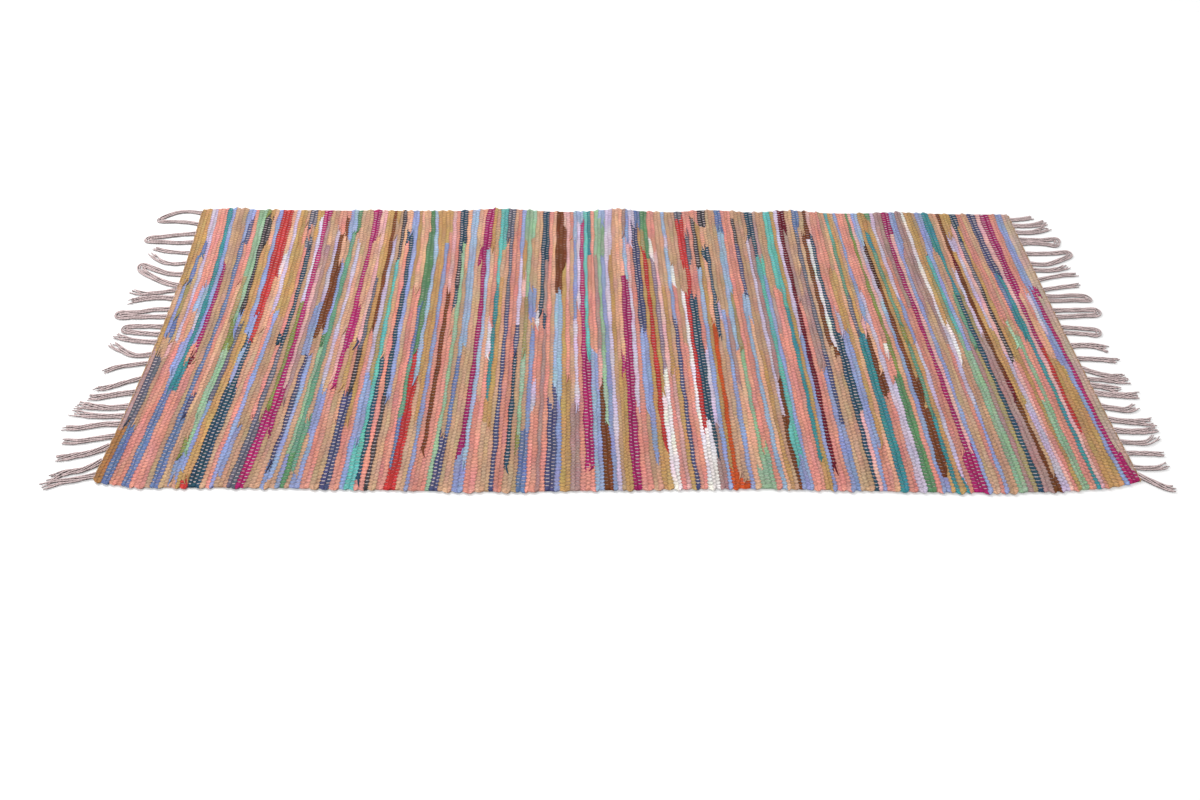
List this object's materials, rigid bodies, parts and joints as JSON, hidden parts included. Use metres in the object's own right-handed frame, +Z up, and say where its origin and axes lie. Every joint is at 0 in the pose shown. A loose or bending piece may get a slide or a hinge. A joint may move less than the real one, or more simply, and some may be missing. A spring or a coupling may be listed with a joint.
{
  "type": "rag rug",
  "caption": "Hand-woven cotton rag rug lying flat, with uneven striped weft rows, low ripples along a long edge and loose warp fringe at the short ends.",
  "frame": {"origin": "on the floor, under the middle of the rug's bounding box", "axes": "+X along the rug's length, across its weft rows; +Y from the front selvedge to the back one; +Z up"},
  "size_m": [1.7652, 0.827, 0.0124],
  "materials": {
    "rag_cotton": "matt cotton rag strips in many colours, woven in narrow uneven stripes",
    "warp_yarn": "matt plied cotton yarn, greige"
  },
  "bodies": {
    "root": {"woven_cloth": "rag_cotton", "fringe_left": "warp_yarn", "fringe_right": "warp_yarn"}
  },
  "joints": []
}
